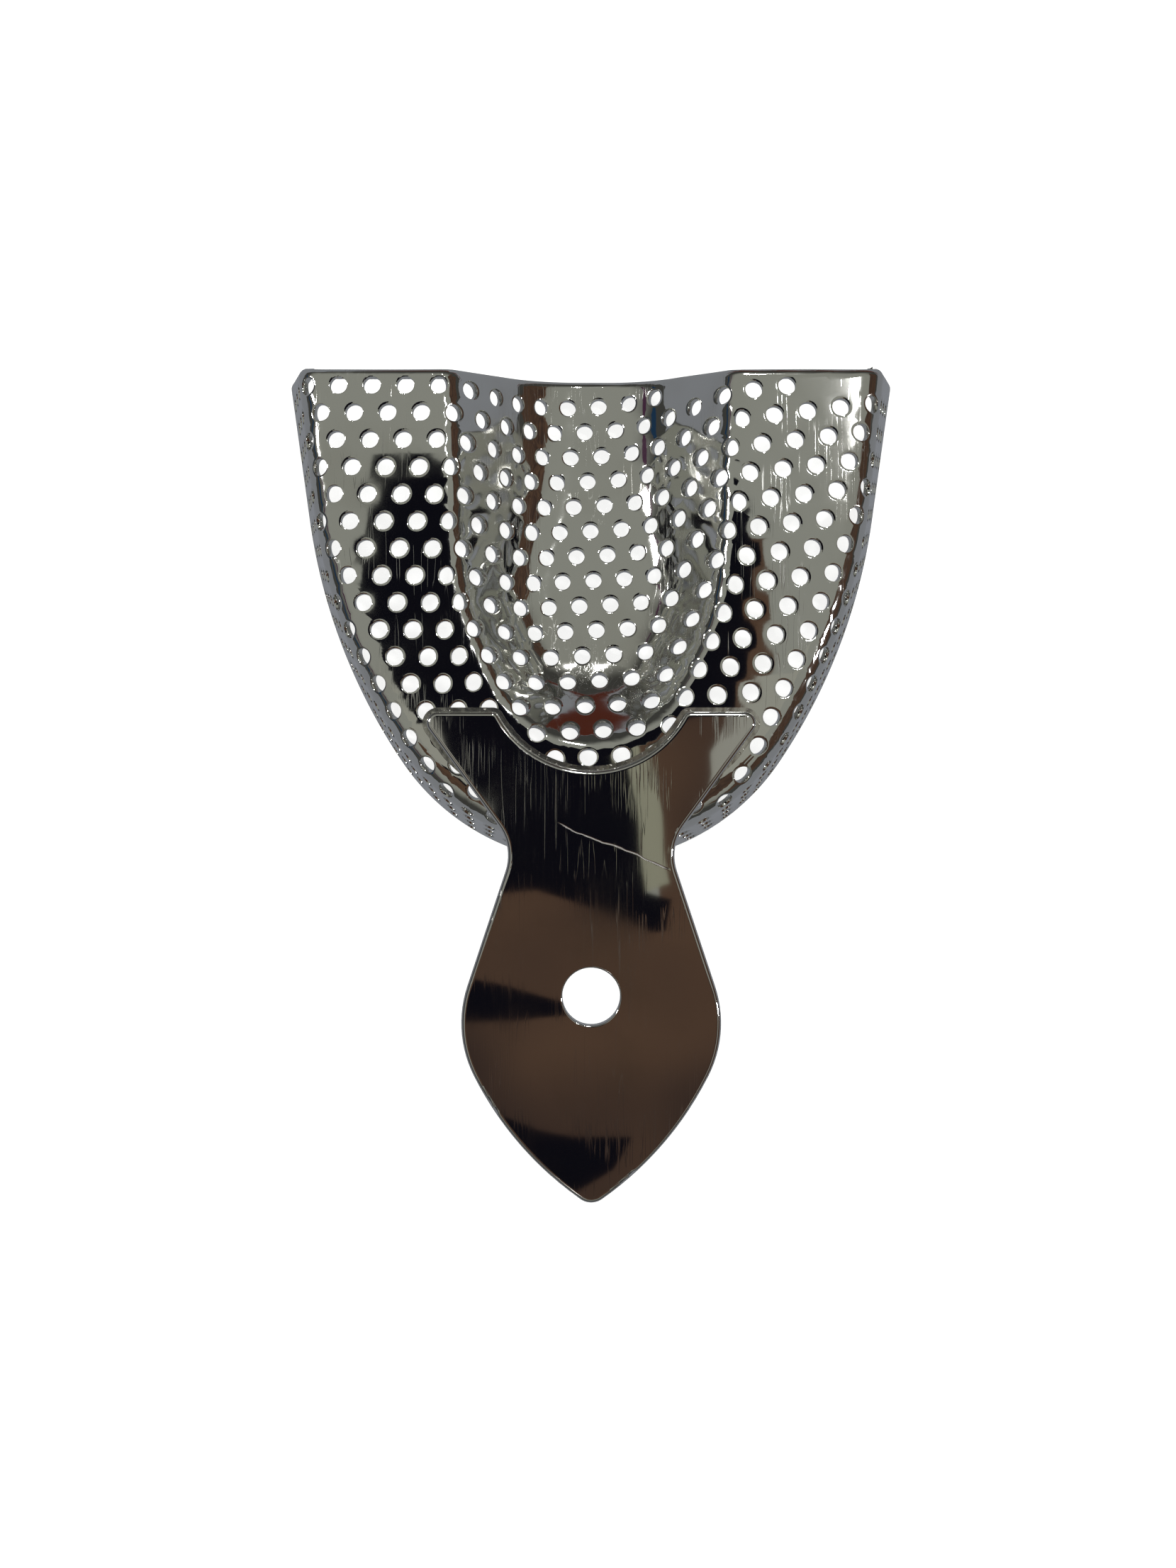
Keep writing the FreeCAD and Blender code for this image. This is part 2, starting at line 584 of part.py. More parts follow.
def half_handle(sketch):
    """Right half of the handle's outline, closed along the Y axis."""
    wing_y, arch_y = number(WING_Y), number(f"{WING_Y} - Dims.arch_depth")
    tip_y, grip_y = number(TIP_Y), number(GRIP_Y)
    arch_r, shoulder_r = dim("arch_radius"), dim("shoulder_radius")
    ogive_r, tip_r = dim("ogive_radius"), dim("tip_radius")
    wing_slope = math.tan(math.radians(dim("wing_angle")))
    waist = math.radians(dim("waist_angle"))

    arch_end = math.asin((wing_y - arch_y - arch_r) / arch_r)
    inner = (arch_r * math.cos(arch_end), wing_y)
    outer = (dim("wing_width") / 2, wing_y)
    shoulder = (dim("grip_width") / 2 - shoulder_r, grip_y)
    grip_top = (shoulder[0] + shoulder_r * math.cos(waist), grip_y + shoulder_r * math.sin(waist))
    drop = (outer[0] - grip_top[0] - (wing_y - grip_top[1]) * -math.tan(waist))
    waist_y = wing_y - drop / (wing_slope + math.tan(waist))
    corner = (outer[0] - (wing_y - waist_y) * wing_slope, waist_y)

    tip = (0, tip_y + tip_r)
    gap = Vector(tip[0] - shoulder[0], tip[1] - shoulder[1], 0)
    to_shoulder, to_tip = ogive_r - shoulder_r, ogive_r - tip_r
    along = (to_shoulder ** 2 - to_tip ** 2 + gap.Length ** 2) / (2 * gap.Length)
    across = math.sqrt(to_shoulder ** 2 - along ** 2)
    unit = Vector(gap).normalize()
    ogive = (shoulder[0] + unit.x * along + unit.y * across,
             shoulder[1] + unit.y * along - unit.x * across)
    side_end = math.atan2(shoulder[1] - ogive[1], shoulder[0] - ogive[0])
    side_start = math.atan2(tip[1] - ogive[1], tip[0] - ogive[0])

    arch, wing_top, wing_side, grip_side, shoulder_arc, ogive_arc, tip_arc, axis = (
        sketch.addGeometry([
            arc((0, arch_y + arch_r), arch_r, -math.pi / 2, arch_end),
            line(inner, outer),
            line(outer, corner),
            line(corner, grip_top),
            arc(shoulder, shoulder_r, side_end, waist),
            arc(ogive, ogive_r, side_start, side_end),
            arc(tip, tip_r, -math.pi / 2, side_start),
            line((0, tip_y), (0, arch_y)),
        ]))
    join(sketch, "Coincident", arch, 2, wing_top, 1)
    join(sketch, "Coincident", wing_top, 2, wing_side, 1)
    join(sketch, "Coincident", wing_side, 2, grip_side, 1)
    join(sketch, "Tangent", grip_side, 2, shoulder_arc, 2)
    join(sketch, "Tangent", shoulder_arc, 1, ogive_arc, 2)
    join(sketch, "Tangent", ogive_arc, 1, tip_arc, 2)
    join(sketch, "Coincident", tip_arc, 1, axis, 1)
    join(sketch, "Coincident", axis, 2, arch, 1)
    join(sketch, "PointOnObject", arch, 3, -2)
    join(sketch, "PointOnObject", arch, 1, -2)
    join(sketch, "PointOnObject", tip_arc, 3, -2)
    join(sketch, "PointOnObject", tip_arc, 1, -2)
    join(sketch, "Horizontal", wing_top)
    constrain(sketch, "arch_radius", "Radius", arch, expression="Dims.arch_radius")
    constrain(sketch, "shoulder_radius", "Radius", shoulder_arc,
              expression="Dims.shoulder_radius")
    constrain(sketch, "ogive_radius", "Radius", ogive_arc, expression="Dims.ogive_radius")
    constrain(sketch, "tip_radius", "Radius", tip_arc, expression="Dims.tip_radius")
    constrain(sketch, "tip", "DistanceY", -1, 1, tip_arc, 1, expression=TIP_Y)
    constrain(sketch, "arch_bottom", "DistanceY", -1, 1, arch, 1,
              expression=f"{WING_Y} - Dims.arch_depth")
    constrain(sketch, "wing_end", "DistanceY", -1, 1, wing_top, 2, expression=WING_Y)
    constrain(sketch, "wing_half", "DistanceX", -1, 1, wing_top, 2,
              expression="Dims.wing_width / 2")
    constrain(sketch, "wing_angle", "Angle", wing_side, expression="-90 - Dims.wing_angle")
    constrain(sketch, "grip_angle", "Angle", grip_side, expression="-90 + Dims.waist_angle")
    constrain(sketch, "grip_half", "DistanceX", -1, 1, shoulder_arc, 3,
              expression="Dims.grip_width / 2 - Dims.shoulder_radius")
    constrain(sketch, "grip_widest", "DistanceY", -1, 1, shoulder_arc, 3, expression=GRIP_Y)


def upright_at(x, y):
    """Test for the upright edges at a place and its mirror image."""

    def test(edge, middle):
        box = edge.BoundBox
        upright = box.XLength < 1e-6 and box.YLength < 1e-6 and box.ZLength > 1e-3
        return upright and abs(abs(middle.x) - x) < 0.05 and abs(middle.y - y) < 0.05

    return test


handle = new_body("handle_plate")
handle_outline = new_sketch(handle, "handle_outline", "XY_Plane", FLOOR_Z)
half_handle(handle_outline)
half_plate = handle.newObject("PartDesign::Pad", "half_plate")
half_plate.Profile = handle_outline
half_plate.setExpression("Length", "Dims.plate_thickness * 1 mm")
doc.recompute()
whole_plate = handle.newObject("PartDesign::Mirrored", "whole_plate")
whole_plate.Originals = [half_plate]
whole_plate.MirrorPlane = (plane(handle, "YZ_Plane"), [""])
handle.Tip = whole_plate
doc.recompute()

hang_circle = new_sketch(handle, "hang_circle", "XY_Plane", FLOOR_Z)
hang_y = f"({TIP_Y} + Dims.hang_hole_to_tip)"
hang_ring = hang_circle.addGeometry(
    Part.Circle(Vector(0, number(hang_y), 0), Vector(0, 0, 1), dim("hang_hole_diameter") / 2))
join(hang_circle, "PointOnObject", hang_ring, 3, -2)
constrain(hang_circle, "place", "DistanceY", -1, 1, hang_ring, 3, expression=hang_y)
constrain(hang_circle, "radius", "Radius", hang_ring,
          expression="Dims.hang_hole_diameter / 2")
hang_hole = handle.newObject("PartDesign::Pocket", "hang_hole")
hang_hole.Profile = hang_circle
hang_hole.SideType = "Symmetric"
hang_hole.Type = "ThroughAll"
doc.recompute()

wing_y = number(WING_Y)
arch_x = math.sqrt(dim("arch_radius") ** 2 - (dim("arch_radius") - dim("arch_depth")) ** 2)
waist_place = next(
    vertex for vertex in handle_outline.Shape.Vertexes
    if abs(vertex.Y - handle_outline.Geometry[2].EndPoint.y) < 1e-6)
wing_corners = add_fillet(handle, "wing_corners", hang_hole,
                          "Dims.wing_corner_radius * 1 mm", upright_at(dim("wing_width") / 2, wing_y))
arch_corners = add_fillet(handle, "arch_corners", wing_corners,
                          "Dims.arch_corner_radius * 1 mm", upright_at(arch_x, wing_y))
waist = add_fillet(handle, "waist", arch_corners, "Dims.waist_radius * 1 mm",
                   upright_at(waist_place.X, waist_place.Y))
hole_breaks = add_fillet(handle, "hole_breaks", waist, "Dims.hang_hole_break * 1 mm",
                         lambda edge, middle: isinstance(edge.Curve, Part.Circle)
                         and edge.isClosed())
top_z = number(f"{FLOOR_Z} + Dims.plate_thickness")
floor_z = number(FLOOR_Z)


def on_outline(z):
    """Test for the outline's edges at a height, which leaves out the hole."""
    hole_reach = dim("hang_hole_diameter") / 2 + 2 * dim("hang_hole_break")
    hole_y = number(hang_y)

    def test(edge, middle):
        level = edge.BoundBox.ZLength < 1e-6 and abs(middle.z - z) < 1e-6
        return level and math.hypot(middle.x, middle.y - hole_y) > hole_reach

    return test


top_edges = add_fillet(handle, "top_edges", hole_breaks,
                       "Dims.plate_edge_radius * 1 mm", on_outline(top_z))
bottom_edges = add_fillet(handle, "bottom_edges", top_edges,
                          "Dims.plate_edge_radius * 1 mm", on_outline(floor_z))


# --------------------------------------------------------------------------------------
# Solder: run-in metal whose shape is the space left between the tray and the handle
# --------------------------------------------------------------------------------------


def plate_outline(growth):
    """Face of the handle's outline at floor level, grown outwards."""
    middle_z = (top_z + floor_z) / 2
    outline = max(handle.Shape.slice(Vector(0, 0, 1), middle_z), key=lambda wire: wire.Length)
    face = Part.Face(outline)
    if growth:
        face = face.makeOffset2D(growth)
    face.translate(Vector(0, 0, floor_z - middle_z))
    return face


def rim_band(inner_inset, outer_inset):
    """Band of the plan between two insets of the rim outline, at floor level."""
    outline = Part.Face(outer_form_rim.Shape)
    outer = outline.makeOffset2D(-outer_inset) if outer_inset else outline
    inner = outline.makeOffset2D(-inner_inset)
    band = outer.cut(inner)
    band.translate(Vector(0, 0, floor_z))
    return band


outer_form_rim = doc.getObject("outer_form_rim")


def solder_seam_shape():
    """Seam on the trough floor along the edges of the wings and of the arch."""
    bead = plate_outline(dim("solder_width")).extrude(Vector(0, 0, dim("solder_height")))
    floor = Part.Face(outer_form_rim.Shape).makeOffset2D(-bend_inset())
    floor.translate(Vector(0, 0, floor_z))
    floor = floor.extrude(Vector(0, 0, dim("solder_height")))
    return bead.common(floor).cut(handle.Shape)


def solder_wedge_shape():
    """Solder run in under the plate, between it and the bend round the tray's front."""
    band = rim_band(bend_inset(), bend_inset() - dim("solder_reach"))
    under = band.common(plate_outline(-dim("plate_edge_radius")))
    depth = dim("floor_bend_radius")
    return under.extrude(Vector(0, 0, -depth)).cut(outer_form.Shape)


def solder_plug_shapes():
    """Solder in the perforations that the handle covers."""
    cover = plate_outline(-dim("plate_edge_radius"))
    reach = bend_inset() - dim("solder_reach") + dim("hole_diameter") / 2
    plugs = []
    for pin in pins:
        axis = pin.CenterOfMass
        distance, _ = outline_distance(axis.x, axis.y, reach)
        spot = Part.Vertex(axis.x, axis.y, floor_z)
        if distance < 0 and cover.distToShape(spot)[0] < 1e-6:
            plugs.append(pressed_sheet.Shape.common(pin))
    return plugs


def add_solder(name, shape):
    piece = doc.addObject("Part::Feature", name)
    piece.Shape = shape
    return piece


solder_seam = add_solder("solder_seam", solder_seam_shape())
solder_wedge = add_solder("solder_wedge", solder_wedge_shape())
solder_plugs = add_solder("solder_plugs", Part.makeCompound(solder_plug_shapes()))

# --------------------------------------------------------------------------------------
# Check every object and write each piece
# --------------------------------------------------------------------------------------

PIECES = [tray_shell, handle, solder_seam, solder_wedge, solder_plugs]

doc.recompute()
for item in doc.Objects:
    if "Invalid" in item.State or "Error" in item.State:
        raise RuntimeError(f"{item.Name} failed to build: {item.State}")
for piece in PIECES:
    if piece.Shape.isNull() or not piece.Shape.isValid() or not piece.Shape.Solids:
        raise RuntimeError(f"{piece.Label} is not a valid solid")

os.makedirs("parts", exist_ok=True)
for piece in PIECES:
    piece.Shape.exportStep(f"parts/{piece.Label}.step")
    print(piece.Label, len(piece.Shape.Solids), "solids", round(piece.Shape.Volume, 1), "mm3")
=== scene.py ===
# %% [markdown]
# # A perforated impression tray
# A dentist presses this tray, filled with soft paste, over the upper teeth. It is two pieces
# of polished steel: a perforated sheet pressed into a horseshoe trough with a palate vault,
# and a flat handle soldered on the front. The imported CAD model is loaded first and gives
# every place and size. All of it stands still, so each piece rides on the one body, "root".

# %% Load the frame
import math
from collections import namedtuple

import bmesh
import bpy
from mathutils import Matrix, Vector, noise


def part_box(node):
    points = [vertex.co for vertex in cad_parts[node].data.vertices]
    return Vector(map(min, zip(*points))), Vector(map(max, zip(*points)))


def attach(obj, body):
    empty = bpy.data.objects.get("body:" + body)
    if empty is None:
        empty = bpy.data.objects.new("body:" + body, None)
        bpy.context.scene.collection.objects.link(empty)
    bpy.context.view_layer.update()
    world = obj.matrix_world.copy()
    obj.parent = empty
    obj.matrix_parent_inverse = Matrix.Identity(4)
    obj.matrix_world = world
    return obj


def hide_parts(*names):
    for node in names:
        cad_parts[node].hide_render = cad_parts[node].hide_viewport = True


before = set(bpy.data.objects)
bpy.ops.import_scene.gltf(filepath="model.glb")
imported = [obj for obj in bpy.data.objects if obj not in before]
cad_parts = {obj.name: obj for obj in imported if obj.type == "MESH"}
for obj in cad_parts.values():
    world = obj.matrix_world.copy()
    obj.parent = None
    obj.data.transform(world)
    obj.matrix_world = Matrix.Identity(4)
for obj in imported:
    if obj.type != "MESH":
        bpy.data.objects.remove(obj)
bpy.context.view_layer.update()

MM = 0.001
tray_low, tray_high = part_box("tray_shell")
FRONT, REAR, TOP = tray_low.y / MM, tray_high.y / MM, tray_high.z / MM
print(f"tray from y {FRONT:.1f} to {REAR:.1f} mm, {TOP:.1f} mm high")

# %% [markdown]
# ## The camera
# The tray lies rims down and is looked at from straight above, from quite near, so the high
# trough floor looks larger than the low palate vault. A near camera with a wide lens gives
# that; a far one with a long lens would flatten it.

# %% Camera over the tray
camera_data = bpy.data.cameras.new("camera")
camera_data.lens = 28.7  # mm, for a sensor 36 mm wide
camera_data.clip_start = 0.01
camera = bpy.data.objects.new("camera", camera_data)
camera.location = (-0.38 * MM, -1.6 * MM, 165 * MM)
bpy.context.scene.collection.objects.link(camera)
bpy.context.scene.camera = camera
bpy.context.scene.view_settings.view_transform = "Standard"
print("camera", [round(value, 4) for value in camera.location])

# %% [markdown]
# ## How the sheet is made
# The real sheet is punched flat with rows of round holes and pressed afterwards, so the
# holes follow the shape and are squeezed or stretched with it. A boolean would cut them all
# round and needs hundreds of cutters. Here the sheet is laid out flat from small cells,
# each with a hole, and then every vertex is pressed. A collar of faces round each hole keeps
# its edge crisp. Sizes are in millimetres until the end.

# %% The punched pattern
HOLE = 2.08
PITCH, ROW = 4.0, 3.27
SIDES = 24
COLLAR = 1.28
SKEW = math.tan(math.radians(3.3))
BOW = math.tan(math.radians(3.2))
ROW_START, ROW_SHIFT = 13.65, -0.35


def on_cell_edge(place):
    """Moves a place on a round ring out to the cell's rectangle, evenly along its sides."""
    angle = math.degrees(math.atan2(place.y, place.x))
    side = round(angle / 90)
    square = Matrix.Rotation(math.radians(90 * side), 3, "Z") @ Vector((1, (angle - 90 * side) / 45, 0))
    return Vector((square.x * PITCH / 2, square.y * ROW / 2, 0))


def facing_up(cell, name):
    if sum(face.normal.z for face in cell.faces) < 0:
        bmesh.ops.reverse_faces(cell, faces=cell.faces[:])
    mesh = bpy.data.meshes.new(name)
    cell.to_mesh(mesh)
    cell.free()
    print(name, len(mesh.polygons), "faces")
    return mesh


def pierced_cell():
    cell = bmesh.new()
    bmesh.ops.create_circle(cell, segments=SIDES, radius=HOLE / 2,
                            matrix=Matrix.Rotation(math.pi / 4, 4, "Z"))
    edges = cell.edges[:]
    for ring in ("round the hole", "cell edge"):
        grown = bmesh.ops.extrude_edge_only(cell, edges=edges)["geom"]
        verts = [item for item in grown if isinstance(item, bmesh.types.BMVert)]
        edges = [item for item in grown if isinstance(item, bmesh.types.BMEdge)
                 and all(vert in verts for vert in item.verts)]
        if ring == "cell edge":
            for vert in verts:
                vert.co = on_cell_edge(vert.co)
        else:
            bmesh.ops.scale(cell, vec=(COLLAR, COLLAR, 1), verts=verts)
    cell.normal_update()
    return facing_up(cell, "pierced cell")


def plain_cell():
    cell = bmesh.new()
    bmesh.ops.create_grid(cell, x_segments=SIDES // 4, y_segments=SIDES // 4, size=1)
    bmesh.ops.scale(cell, vec=(PITCH / 2, ROW / 2, 1), verts=cell.verts[:])
    cell.normal_update()
    return facing_up(cell, "plain cell")


PIERCED, PLAIN = pierced_cell(), plain_cell()

# %% [markdown]
# ## The press
# Seen from above the rim and the palate have the same kind of outline: a round nose, a
# longer arc along each side and a straight end. One function tells how far a place is
# outside such an outline. From that distance come the bend and wall of the trough, and the
# depth of the palate with its rounded brim and root.

# %% Outlines seen from above
Outline = namedtuple("Outline", "nose_y nose_r side_r lean half end_y")
PAST_REAR = 9
BEYOND = REAR + PAST_REAR
RIM_HALF = 39.7
ARM = 17.4
RIM_LEAN, PALATE_LEAN = math.radians(8), math.radians(2)
RIM = Outline(FRONT, 30, 75.5, RIM_LEAN, RIM_HALF + PAST_REAR * math.tan(RIM_LEAN), BEYOND)
PALATE = Outline(FRONT + 15.1, 12.4, 45, PALATE_LEAN, ARM, BEYOND)


def outside(x, y, line):
    """Distance outside an outline, and the direction outwards as an angle from the front."""
    shift = line.nose_r - line.side_r
    x, centre_y = abs(x), line.nose_y + line.nose_r
    start = math.asin((line.half * math.cos(line.lean) - line.side_r
                       + (centre_y - line.end_y) * math.sin(line.lean)) / shift) - line.lean
    angle = math.atan2(x, centre_y - y)
    if angle < start:
        return math.hypot(x, y - centre_y) - line.nose_r, angle
    side_x, side_y = shift * math.sin(start), centre_y - shift * math.cos(start)
    angle = math.atan2(x - side_x, side_y - y)
    if angle < math.pi / 2 - line.lean:
        return math.hypot(x - side_x, y - side_y) - line.side_r, angle
    distance = (x - line.half) * math.cos(line.lean) - (y - line.end_y) * math.sin(line.lean)
    return distance, math.pi / 2 - line.lean


print("rim half width at the rear", round(RIM_HALF + outside(RIM_HALF, REAR, RIM)[0], 2))

# %% Trough wall and palate vault
BEND, BRIM = 3.0, 2.5
FRONT_FLARE, FLARE_GROWTH = 10.5, 5
NOSE_SLOPE, SIDE_SLOPE = 0.6, 0.4
NARROW_SLOPE, SLOPE_GROWTH = 0.47, 0.30
NARROW_ROOT, ROOT_GROWTH = 6.5, 5.0
VAULT_R, VAULT_CLEARANCE, VAULT_BEHIND = 250, 1.35, 0.5


def part_way(value, start, length):
    return min(max((value - start) / length, 0), 1)


def eased(share):
    return share * share * (3 - 2 * share)


def wall_flare(y):
    """The wall stands steeper at the front of the tray than at its rear."""
    return math.radians(FRONT_FLARE + FLARE_GROWTH * part_way(y - FRONT, 15, 45))


def bend_inset(flare):
    """From the rim outline in to where the floor starts to bend."""
    return TOP * math.tan(flare) + BEND * math.tan((math.pi / 2 - flare) / 2)


def over_the_wall(along, flare):
    """Outward and downward travel after a length round the bend and down the wall."""
    turn = math.pi / 2 - flare
    angle, rest = min(along / BEND, turn), max(along - BEND * turn, 0)
    outward = BEND * math.sin(angle) + rest * math.cos(turn)
    return outward, BEND * (1 - math.cos(angle)) + rest * math.sin(turn)


def palate_depth(x, y):
    """Down from the floor of the trough: round brim, slope, round root, then the vault."""
    distance, angle = outside(x, y, PALATE)
    widening = eased(part_way(y - FRONT, 24, 28))
    slope = max(SIDE_SLOPE + NOSE_SLOPE * math.cos(angle), NARROW_SLOPE + SLOPE_GROWTH * widening)
    root = NARROW_ROOT + ROOT_GROWTH * widening
    steep = math.atan2(1, slope)
    vault = (TOP - VAULT_CLEARANCE - VAULT_R
             + math.sqrt(VAULT_R ** 2 - (y - BEYOND - VAULT_BEHIND) ** 2))
    past_brim = BRIM * math.tan(steep / 2) - distance
    before_vault = vault * slope + root * math.tan(steep / 2) + distance
    if past_brim <= 0:
        return 0
    if past_brim < BRIM * math.sin(steep):
        return BRIM - math.sqrt(BRIM ** 2 - past_brim ** 2)
    if before_vault > root * math.sin(steep):
        return -distance / slope
    return vault - root + math.sqrt(root ** 2 - max(before_vault, 0) ** 2)


def press(x, y):
    """Where a place of the flat sheet comes to lie."""
    distance, angle = outside(x, y, RIM)
    flare = wall_flare(y)
    distance += bend_inset(flare)
    if distance <= 0:
        return Vector((x, y, TOP - palate_depth(x, y)))
    outward, downward = over_the_wall(distance, flare)
    pull = outward - distance
    return Vector((x + math.copysign(math.sin(angle), x) * pull,
                   y - math.cos(angle) * pull, TOP - downward))


print("palate is", round(palate_depth(0, 30), 2), "mm deep")

# %% [markdown]
# ## Laying the cells
# Rows are half a cell apart like bricks, run a little askew, and rise outwards along the
# arms. The palate has drawn the sheet in from each side. A cell stays plain where its hole
# would come too near the rim or the rear edge.

# %% Flat sheet of cells
REAR_LEAN = math.tan(math.radians(11.3))
EDGE_ROOM = HOLE / 2 + 0.8
REAR_DRAW, DRAW_BIAS = 4.75, 0.5
DRAW_START, DRAW_REACH = 0.17, 1.15
LIP_BEND, LIP_DROP = 1.2, 1.0
LIP_LENGTH = LIP_BEND * math.pi / 2 + LIP_DROP


def drawn_in(x, y):
    """The palate pulls the pattern in from each side, most at the rear."""
    depth = part_way(y, PALATE.nose_y, REAR - PALATE.nose_y)
    share = part_way(abs(x) / ARM, DRAW_START, DRAW_REACH)
    return x - (math.copysign(REAR_DRAW * depth, x) - DRAW_BIAS) * eased(share)


def settled(along, across):
    """A place of the punched pattern on the flat sheet, seen from above."""
    y = FRONT + ROW_START + across + SKEW * along
    x = drawn_in(along - SKEW * across, y)
    return x, y + BOW * max(abs(x) - ARM, 0)


def rear_room(place):
    """Room in front of the leaning plane of the rear edges."""
    return REAR - REAR_LEAN * place.z - place.y


sheet = bmesh.new()
holes = 0
for row in range(-14, 20):  # more than the sheet needs; what lies outside is passed over
    for column in range(-17, 18):
        along = ROW_SHIFT + (column + 0.5 * (row % 2)) * PITCH
        across = row * ROW
        corners = [settled(along + side * PITCH / 2, across + end * ROW / 2)
                   for side in (-1, 0, 1) for end in (-1, 0, 1)]
        pressed = [press(x, y) for x, y in corners]
        if (max(place.z for place in pressed) < -1
                or max(rear_room(place) for place in pressed) < LIP_BEND - LIP_LENGTH):
            continue
        x, y = settled(along, across)
        middle = press(x, y)
        on_wall = outside(x, y, RIM)[0] + bend_inset(wall_flare(y)) > 0
        open_cell = rear_room(middle) > EDGE_ROOM and not (on_wall and middle.z < EDGE_ROOM)
        before = len(sheet.verts)
        sheet.from_mesh(PIERCED if open_cell else PLAIN)
        sheet.verts.ensure_lookup_table()
        bmesh.ops.translate(sheet, verts=sheet.verts[before:], vec=(along, across, 0))
        holes += open_cell
bmesh.ops.remove_doubles(sheet, verts=sheet.verts[:], dist=0.01)
print(holes, "holes in", len(sheet.faces), "faces")

# %% Press the sheet
for vert in sheet.verts:
    vert.co = press(*settled(vert.co.x, vert.co.y))
sheet.normal_update()
print("deepest", round(min(vert.co.z for vert in sheet.verts), 2))

# %% [markdown]
# ## The rear edge
# The open rear of the real tray is folded down to a soft lip, so it doesn't cut the palate.
# Cuts across the sheet give the fold its rings, then everything behind the fold line is
# turned down against the sheet's own normals. Last, the rims are cut level.

# %% Turn the rear edge down
rear_normal = Vector((0, 1, REAR_LEAN)).normalized()
THICK = 0.8
RIM_CUT = 0.5
TINY = 1e-4
LIP_RINGS = 7


def cut_across(behind, clear):
    bmesh.ops.bisect_plane(sheet, geom=sheet.verts[:] + sheet.edges[:] + sheet.faces[:], dist=TINY,
                           plane_co=(0, REAR + behind, 0), plane_no=rear_normal, clear_outer=clear)


cut_across(LIP_LENGTH - LIP_BEND, True)
for ring in range(LIP_RINGS):
    cut_across(LIP_BEND * math.pi / 12 * ring - LIP_BEND, False)
sheet.normal_update()
for vert, normal in [(vert, vert.normal.copy()) for vert in sheet.verts]:
    past = LIP_BEND - rear_room(vert.co)
    if past > 0:
        angle = min(past / LIP_BEND, math.pi / 2)
        drop = LIP_BEND * (1 - math.cos(angle)) + max(past - LIP_BEND * math.pi / 2, 0)
        vert.co += Vector((0, LIP_BEND * math.sin(angle) - past, 0)) - normal * drop
bmesh.ops.bisect_plane(sheet, geom=sheet.verts[:] + sheet.edges[:] + sheet.faces[:], dist=TINY,
                       plane_co=(0, 0, RIM_CUT), plane_no=(0, 0, -1), clear_outer=True)
bmesh.ops.dissolve_degenerate(sheet, dist=0.01, edges=sheet.edges[:])
sheet.normal_update()
print("rear edge turned down,", len(sheet.faces), "faces")

# %% [markdown]
# ## Marks of punching and pressing
# The punch pulls the edge of each hole down a little and the press leaves the sheet gently
# wavy. Both are tiny, but on a mirror finish they make the sparkle round the holes and the
# wavering highlights along the bends, so they are put into the mesh and not only the bump.

# %% Pull the hole edges down and make the sheet wavy
HOLE_PULL, WAVE, WAVE_LENGTH = 0.006, 0.05, 11
NEAR_RIM = RIM_CUT + 0.01
for vert, normal in [(vert, vert.normal.copy()) for vert in sheet.verts]:
    drop = WAVE * noise.noise(vert.co / WAVE_LENGTH)
    if vert.is_boundary and vert.co.z > NEAR_RIM and rear_room(vert.co) > LIP_BEND:
        drop += HOLE_PULL * (1 + noise.noise(vert.co / 2 + Vector((9, 0, 0))))
    if vert.co.z > NEAR_RIM:
        vert.co -= normal * drop
bmesh.ops.scale(sheet, vec=(MM, MM, MM), verts=sheet.verts[:])
for face in sheet.faces:
    face.smooth = True


def new_piece(mesh_maker, name):
    mesh = bpy.data.meshes.new(name)
    mesh_maker.to_mesh(mesh)
    mesh_maker.free()
    piece = bpy.data.objects.new(name, mesh)
    bpy.context.scene.collection.objects.link(piece)
    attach(piece, "root")
    return piece


pressed_sheet = new_piece(sheet, "pressed_sheet")
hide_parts("tray_shell")
print(len(pressed_sheet.data.polygons), "faces on the outer side")

# %% [markdown]
# ## Thickness and edges
# Solidify gives the sheet its 0.8 mm towards the inside, and a narrow Bevel rounds the edge
# of every hole and of the rim. Both could be done in the mesh, but as modifiers they stay
# easy to change.

# %% Thickness and rounded edges
thickness = pressed_sheet.modifiers.new("thickness", "SOLIDIFY")
thickness.thickness = THICK * MM
thickness.offset = -1
thickness.use_even_offset = False
edges = pressed_sheet.modifiers.new("edges", "BEVEL")
edges.width = 0.1 * MM
edges.segments = 1
edges.limit_method = "ANGLE"
edges.angle_limit = math.radians(50)
edges.use_clamp_overlap = True
print("sheet thickness", thickness.thickness, "bevel", edges.width)

# %% [markdown]
# ## Sums on shader sockets
# A pattern is easier to read as a sum than as a list of nodes. This small class wraps a
# socket; adding or multiplying it adds a Math node, and node() adds any other kind.

# %% A socket that can stand in a sum


